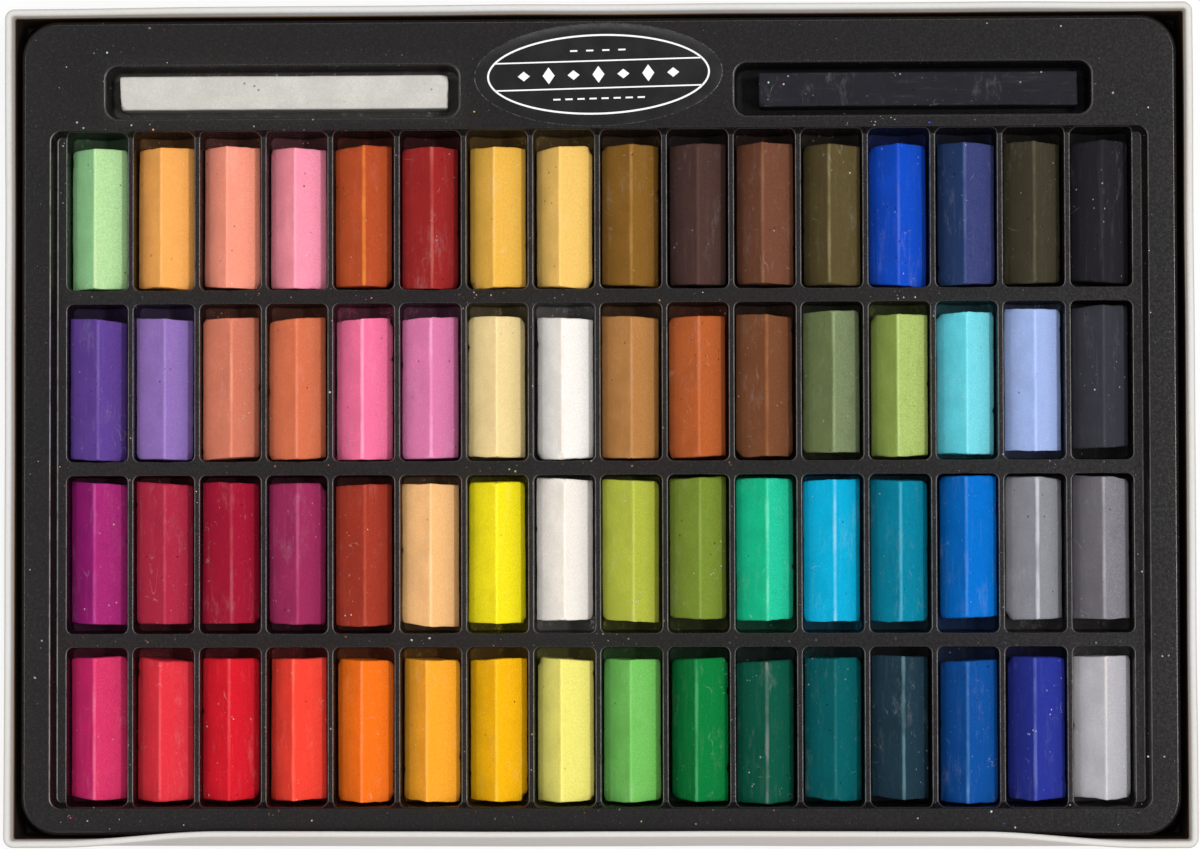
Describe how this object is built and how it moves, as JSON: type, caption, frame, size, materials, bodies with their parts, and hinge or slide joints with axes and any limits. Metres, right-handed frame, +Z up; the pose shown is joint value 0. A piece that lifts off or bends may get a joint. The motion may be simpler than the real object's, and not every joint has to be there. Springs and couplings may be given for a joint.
{
  "type": "pastel box",
  "caption": "Open white paperboard tray with a black formed insert: square pastel sticks of many colours stand edge up in its wells, with longer sticks and an oval label behind.",
  "frame": {"origin": "middle of the tray's underside", "axes": "+X along the tray's long side, +Y towards the long sticks and the label, +Z up out of the tray"},
  "size_m": [0.2948, 0.2084, 0.0215],
  "materials": {
    "white_board": "matte",
    "black_sheet": "satin",
    "label_film": "gloss",
    "chalk_white": "matte",
    "chalk_black": "matte",
    "chalk_grey": "matte",
    "chalk_ochre": "matte",
    "chalk_olive_green": "matte",
    "chalk_deep_teal": "matte",
    "chalk_violet": "matte",
    "chalk_orange_brown": "matte",
    "chalk_crimson": "matte",
    "chalk_light_green": "matte",
    "chalk_light_orange": "matte",
    "chalk_salmon": "matte",
    "chalk_light_pink": "matte",
    "chalk_burnt_sienna": "matte",
    "chalk_red_brown": "matte",
    "chalk_raw_umber": "matte",
    "chalk_dark_umber": "matte",
    "chalk_brown": "matte",
    "chalk_olive_umber": "matte",
    "chalk_ultramarine": "matte",
    "chalk_prussian_blue": "matte",
    "chalk_olive_grey": "matte",
    "chalk_dusty_rose": "matte",
    "chalk_terracotta": "matte",
    "chalk_pink": "matte",
    "chalk_orchid": "matte",
    "chalk_cream": "matte",
    "chalk_tan": "matte",
    "chalk_sage_green": "matte",
    "chalk_leaf_green": "matte",
    "chalk_turquoise": "matte",
    "chalk_pale_blue": "matte",
    "chalk_purple": "matte",
    "chalk_plum": "matte",
    "chalk_brick_red": "matte",
    "chalk_peach": "matte",
    "chalk_yellow": "matte",
    "chalk_mint_green": "matte",
    "chalk_cyan_blue": "matte",
    "chalk_teal_blue": "matte",
    "chalk_azure": "matte",
    "chalk_magenta": "matte",
    "chalk_coral_red": "matte",
    "chalk_scarlet": "matte",
    "chalk_vermilion": "matte",
    "chalk_orange": "matte",
    "chalk_amber": "matte",
    "chalk_golden_yellow": "matte",
    "chalk_lemon": "matte",
    "chalk_grass_green": "matte",
    "chalk_emerald": "matte",
    "chalk_deep_green": "matte",
    "chalk_cobalt_blue": "matte",
    "chalk_royal_blue": "matte",
    "chalk_light_grey": "matte"
  },
  "bodies": {
    "tray": {"carton_tray": "white_board"},
    "insert": {"insert_tray": "black_sheet", "oval_label": "label_film"},
    "white_long_stick": {"long_stick_white": "chalk_white"},
    "black_long_stick": {"long_stick_black": "chalk_black"},
    "r2c08_r3c08_white": {"sticks_r2c08_r3c08_white": "chalk_white"},
    "r1c16_r2c16_black": {"sticks_r1c16_r2c16_black": "chalk_black"},
    "r3c15_r3c16_grey": {"sticks_r3c15_r3c16_grey": "chalk_grey"},
    "r1c07_r1c08_ochre": {"sticks_r1c07_r1c08_ochre": "chalk_ochre"},
    "r3c09_r3c10_olive_green": {"sticks_r3c09_r3c10_olive_green": "chalk_olive_green"},
    "r4c12_r4c13_deep_teal": {"sticks_r4c12_r4c13_deep_teal": "chalk_deep_teal"},
    "r2c01_r2c02_violet": {"sticks_r2c01_r2c02_violet": "chalk_violet"},
    "r2c10_r2c11_orange_brown": {"sticks_r2c10_r2c11_orange_brown": "chalk_orange_brown"},
    "r3c02_r3c03_crimson": {"sticks_r3c02_r3c03_crimson": "chalk_crimson"},
    "r1c01_light_green": {"stick_r1c01_light_green": "chalk_light_green"},
    "r1c02_light_orange": {"stick_r1c02_light_orange": "chalk_light_orange"},
    "r1c03_salmon": {"stick_r1c03_salmon": "chalk_salmon"},
    "r1c04_light_pink": {"stick_r1c04_light_pink": "chalk_light_pink"},
    "r1c05_burnt_sienna": {"stick_r1c05_burnt_sienna": "chalk_burnt_sienna"},
    "r1c06_red_brown": {"stick_r1c06_red_brown": "chalk_red_brown"},
    "r1c09_raw_umber": {"stick_r1c09_raw_umber": "chalk_raw_umber"},
    "r1c10_dark_umber": {"stick_r1c10_dark_umber": "chalk_dark_umber"},
    "r1c11_brown": {"stick_r1c11_brown": "chalk_brown"},
    "r1c12_olive_umber": {"stick_r1c12_olive_umber": "chalk_olive_umber"},
    "r1c13_ultramarine": {"stick_r1c13_ultramarine": "chalk_ultramarine"},
    "r1c14_prussian_blue": {"stick_r1c14_prussian_blue": "chalk_prussian_blue"},
    "r1c15_olive_grey": {"stick_r1c15_olive_grey": "chalk_olive_grey"},
    "r2c03_dusty_rose": {"stick_r2c03_dusty_rose": "chalk_dusty_rose"},
    "r2c04_terracotta": {"stick_r2c04_terracotta": "chalk_terracotta"},
    "r2c05_pink": {"stick_r2c05_pink": "chalk_pink"},
    "r2c06_orchid": {"stick_r2c06_orchid": "chalk_orchid"},
    "r2c07_cream": {"stick_r2c07_cream": "chalk_cream"},
    "r2c09_tan": {"stick_r2c09_tan": "chalk_tan"},
    "r2c12_sage_green": {"stick_r2c12_sage_green": "chalk_sage_green"},
    "r2c13_leaf_green": {"stick_r2c13_leaf_green": "chalk_leaf_green"},
    "r2c14_turquoise": {"stick_r2c14_turquoise": "chalk_turquoise"},
    "r2c15_pale_blue": {"stick_r2c15_pale_blue": "chalk_pale_blue"},
    "r3c01_purple": {"stick_r3c01_purple": "chalk_purple"},
    "r3c04_plum": {"stick_r3c04_plum": "chalk_plum"},
    "r3c05_brick_red": {"stick_r3c05_brick_red": "chalk_brick_red"},
    "r3c06_peach": {"stick_r3c06_peach": "chalk_peach"},
    "r3c07_yellow": {"stick_r3c07_yellow": "chalk_yellow"},
    "r3c11_mint_green": {"stick_r3c11_mint_green": "chalk_mint_green"},
    "r3c12_cyan_blue": {"stick_r3c12_cyan_blue": "chalk_cyan_blue"},
    "r3c13_teal_blue": {"stick_r3c13_teal_blue": "chalk_teal_blue"},
    "r3c14_azure": {"stick_r3c14_azure": "chalk_azure"},
    "r4c01_magenta": {"stick_r4c01_magenta": "chalk_magenta"},
    "r4c02_coral_red": {"stick_r4c02_coral_red": "chalk_coral_red"},
    "r4c03_scarlet": {"stick_r4c03_scarlet": "chalk_scarlet"},
    "r4c04_vermilion": {"stick_r4c04_vermilion": "chalk_vermilion"},
    "r4c05_orange": {"stick_r4c05_orange": "chalk_orange"},
    "r4c06_amber": {"stick_r4c06_amber": "chalk_amber"},
    "r4c07_golden_yellow": {"stick_r4c07_golden_yellow": "chalk_golden_yellow"},
    "r4c08_lemon": {"stick_r4c08_lemon": "chalk_lemon"},
    "r4c09_grass_green": {"stick_r4c09_grass_green": "chalk_grass_green"},
    "r4c10_emerald": {"stick_r4c10_emerald": "chalk_emerald"},
    "r4c11_deep_green": {"stick_r4c11_deep_green": "chalk_deep_green"},
    "r4c14_cobalt_blue": {"stick_r4c14_cobalt_blue": "chalk_cobalt_blue"},
    "r4c15_royal_blue": {"stick_r4c15_royal_blue": "chalk_royal_blue"},
    "r4c16_light_grey": {"stick_r4c16_light_grey": "chalk_light_grey"}
  },
  "joints": [
    {"name": "insert_lift", "type": "slide", "parent": "tray", "child": "insert", "axis": [0, 0, 1], "range_m": [0, 0.03]},
    {"name": "white_long_stick_lift", "type": "slide", "parent": "insert", "child": "white_long_stick", "axis": [0, 0, 1], "range_m": [0, 0.025]},
    {"name": "black_long_stick_lift", "type": "slide", "parent": "insert", "child": "black_long_stick", "axis": [0, 0, 1], "range_m": [0, 0.025]},
    {"name": "r2c08_r3c08_white_lift", "type": "slide", "parent": "insert", "child": "r2c08_r3c08_white", "axis": [0, 0, 1], "range_m": [0, 0.025]},
    {"name": "r1c16_r2c16_black_lift", "type": "slide", "parent": "insert", "child": "r1c16_r2c16_black", "axis": [0, 0, 1], "range_m": [0, 0.025]},
    {"name": "r3c15_r3c16_grey_lift", "type": "slide", "parent": "insert", "child": "r3c15_r3c16_grey", "axis": [0, 0, 1], "range_m": [0, 0.025]},
    {"name": "r1c07_r1c08_ochre_lift", "type": "slide", "parent": "insert", "child": "r1c07_r1c08_ochre", "axis": [0, 0, 1], "range_m": [0, 0.025]},
    {"name": "r3c09_r3c10_olive_green_lift", "type": "slide", "parent": "insert", "child": "r3c09_r3c10_olive_green", "axis": [0, 0, 1], "range_m": [0, 0.025]},
    {"name": "r4c12_r4c13_deep_teal_lift", "type": "slide", "parent": "insert", "child": "r4c12_r4c13_deep_teal", "axis": [0, 0, 1], "range_m": [0, 0.025]},
    {"name": "r2c01_r2c02_violet_lift", "type": "slide", "parent": "insert", "child": "r2c01_r2c02_violet", "axis": [0, 0, 1], "range_m": [0, 0.025]},
    {"name": "r2c10_r2c11_orange_brown_lift", "type": "slide", "parent": "insert", "child": "r2c10_r2c11_orange_brown", "axis": [0, 0, 1], "range_m": [0, 0.025]},
    {"name": "r3c02_r3c03_crimson_lift", "type": "slide", "parent": "insert", "child": "r3c02_r3c03_crimson", "axis": [0, 0, 1], "range_m": [0, 0.025]},
    {"name": "r1c01_light_green_lift", "type": "slide", "parent": "insert", "child": "r1c01_light_green", "axis": [0, 0, 1], "range_m": [0, 0.025]},
    {"name": "r1c02_light_orange_lift", "type": "slide", "parent": "insert", "child": "r1c02_light_orange", "axis": [0, 0, 1], "range_m": [0, 0.025]},
    {"name": "r1c03_salmon_lift", "type": "slide", "parent": "insert", "child": "r1c03_salmon", "axis": [0, 0, 1], "range_m": [0, 0.025]},
    {"name": "r1c04_light_pink_lift", "type": "slide", "parent": "insert", "child": "r1c04_light_pink", "axis": [0, 0, 1], "range_m": [0, 0.025]},
    {"name": "r1c05_burnt_sienna_lift", "type": "slide", "parent": "insert", "child": "r1c05_burnt_sienna", "axis": [0, 0, 1], "range_m": [0, 0.025]},
    {"name": "r1c06_red_brown_lift", "type": "slide", "parent": "insert", "child": "r1c06_red_brown", "axis": [0, 0, 1], "range_m": [0, 0.025]},
    {"name": "r1c09_raw_umber_lift", "type": "slide", "parent": "insert", "child": "r1c09_raw_umber", "axis": [0, 0, 1], "range_m": [0, 0.025]},
    {"name": "r1c10_dark_umber_lift", "type": "slide", "parent": "insert", "child": "r1c10_dark_umber", "axis": [0, 0, 1], "range_m": [0, 0.025]},
    {"name": "r1c11_brown_lift", "type": "slide", "parent": "insert", "child": "r1c11_brown", "axis": [0, 0, 1], "range_m": [0, 0.025]},
    {"name": "r1c12_olive_umber_lift", "type": "slide", "parent": "insert", "child": "r1c12_olive_umber", "axis": [0, 0, 1], "range_m": [0, 0.025]},
    {"name": "r1c13_ultramarine_lift", "type": "slide", "parent": "insert", "child": "r1c13_ultramarine", "axis": [0, 0, 1], "range_m": [0, 0.025]},
    {"name": "r1c14_prussian_blue_lift", "type": "slide", "parent": "insert", "child": "r1c14_prussian_blue", "axis": [0, 0, 1], "range_m": [0, 0.025]},
    {"name": "r1c15_olive_grey_lift", "type": "slide", "parent": "insert", "child": "r1c15_olive_grey", "axis": [0, 0, 1], "range_m": [0, 0.025]},
    {"name": "r2c03_dusty_rose_lift", "type": "slide", "parent": "insert", "child": "r2c03_dusty_rose", "axis": [0, 0, 1], "range_m": [0, 0.025]},
    {"name": "r2c04_terracotta_lift", "type": "slide", "parent": "insert", "child": "r2c04_terracotta", "axis": [0, 0, 1], "range_m": [0, 0.025]},
    {"name": "r2c05_pink_lift", "type": "slide", "parent": "insert", "child": "r2c05_pink", "axis": [0, 0, 1], "range_m": [0, 0.025]},
    {"name": "r2c06_orchid_lift", "type": "slide", "parent": "insert", "child": "r2c06_orchid", "axis": [0, 0, 1], "range_m": [0, 0.025]},
    {"name": "r2c07_cream_lift", "type": "slide", "parent": "insert", "child": "r2c07_cream", "axis": [0, 0, 1], "range_m": [0, 0.025]},
    {"name": "r2c09_tan_lift", "type": "slide", "parent": "insert", "child": "r2c09_tan", "axis": [0, 0, 1], "range_m": [0, 0.025]},
    {"name": "r2c12_sage_green_lift", "type": "slide", "parent": "insert", "child": "r2c12_sage_green", "axis": [0, 0, 1], "range_m": [0, 0.025]},
    {"name": "r2c13_leaf_green_lift", "type": "slide", "parent": "insert", "child": "r2c13_leaf_green", "axis": [0, 0, 1], "range_m": [0, 0.025]},
    {"name": "r2c14_turquoise_lift", "type": "slide", "parent": "insert", "child": "r2c14_turquoise", "axis": [0, 0, 1], "range_m": [0, 0.025]},
    {"name": "r2c15_pale_blue_lift", "type": "slide", "parent": "insert", "child": "r2c15_pale_blue", "axis": [0, 0, 1], "range_m": [0, 0.025]},
    {"name": "r3c01_purple_lift", "type": "slide", "parent": "insert", "child": "r3c01_purple", "axis": [0, 0, 1], "range_m": [0, 0.025]},
    {"name": "r3c04_plum_lift", "type": "slide", "parent": "insert", "child": "r3c04_plum", "axis": [0, 0, 1], "range_m": [0, 0.025]},
    {"name": "r3c05_brick_red_lift", "type": "slide", "parent": "insert", "child": "r3c05_brick_red", "axis": [0, 0, 1], "range_m": [0, 0.025]},
    {"name": "r3c06_peach_lift", "type": "slide", "parent": "insert", "child": "r3c06_peach", "axis": [0, 0, 1], "range_m": [0, 0.025]},
    {"name": "r3c07_yellow_lift", "type": "slide", "parent": "insert", "child": "r3c07_yellow", "axis": [0, 0, 1], "range_m": [0, 0.025]},
    {"name": "r3c11_mint_green_lift", "type": "slide", "parent": "insert", "child": "r3c11_mint_green", "axis": [0, 0, 1], "range_m": [0, 0.025]},
    {"name": "r3c12_cyan_blue_lift", "type": "slide", "parent": "insert", "child": "r3c12_cyan_blue", "axis": [0, 0, 1], "range_m": [0, 0.025]},
    {"name": "r3c13_teal_blue_lift", "type": "slide", "parent": "insert", "child": "r3c13_teal_blue", "axis": [0, 0, 1], "range_m": [0, 0.025]},
    {"name": "r3c14_azure_lift", "type": "slide", "parent": "insert", "child": "r3c14_azure", "axis": [0, 0, 1], "range_m": [0, 0.025]},
    {"name": "r4c01_magenta_lift", "type": "slide", "parent": "insert", "child": "r4c01_magenta", "axis": [0, 0, 1], "range_m": [0, 0.025]},
    {"name": "r4c02_coral_red_lift", "type": "slide", "parent": "insert", "child": "r4c02_coral_red", "axis": [0, 0, 1], "range_m": [0, 0.025]},
    {"name": "r4c03_scarlet_lift", "type": "slide", "parent": "insert", "child": "r4c03_scarlet", "axis": [0, 0, 1], "range_m": [0, 0.025]},
    {"name": "r4c04_vermilion_lift", "type": "slide", "parent": "insert", "child": "r4c04_vermilion", "axis": [0, 0, 1], "range_m": [0, 0.025]},
    {"name": "r4c05_orange_lift", "type": "slide", "parent": "insert", "child": "r4c05_orange", "axis": [0, 0, 1], "range_m": [0, 0.025]},
    {"name": "r4c06_amber_lift", "type": "slide", "parent": "insert", "child": "r4c06_amber", "axis": [0, 0, 1], "range_m": [0, 0.025]},
    {"name": "r4c07_golden_yellow_lift", "type": "slide", "parent": "insert", "child": "r4c07_golden_yellow", "axis": [0, 0, 1], "range_m": [0, 0.025]},
    {"name": "r4c08_lemon_lift", "type": "slide", "parent": "insert", "child": "r4c08_lemon", "axis": [0, 0, 1], "range_m": [0, 0.025]},
    {"name": "r4c09_grass_green_lift", "type": "slide", "parent": "insert", "child": "r4c09_grass_green", "axis": [0, 0, 1], "range_m": [0, 0.025]},
    {"name": "r4c10_emerald_lift", "type": "slide", "parent": "insert", "child": "r4c10_emerald", "axis": [0, 0, 1], "range_m": [0, 0.025]},
    {"name": "r4c11_deep_green_lift", "type": "slide", "parent": "insert", "child": "r4c11_deep_green", "axis": [0, 0, 1], "range_m": [0, 0.025]},
    {"name": "r4c14_cobalt_blue_lift", "type": "slide", "parent": "insert", "child": "r4c14_cobalt_blue", "axis": [0, 0, 1], "range_m": [0, 0.025]},
    {"name": "r4c15_royal_blue_lift", "type": "slide", "parent": "insert", "child": "r4c15_royal_blue", "axis": [0, 0, 1], "range_m": [0, 0.025]},
    {"name": "r4c16_light_grey_lift", "type": "slide", "parent": "insert", "child": "r4c16_light_grey", "axis": [0, 0, 1], "range_m": [0, 0.025]}
  ]
}
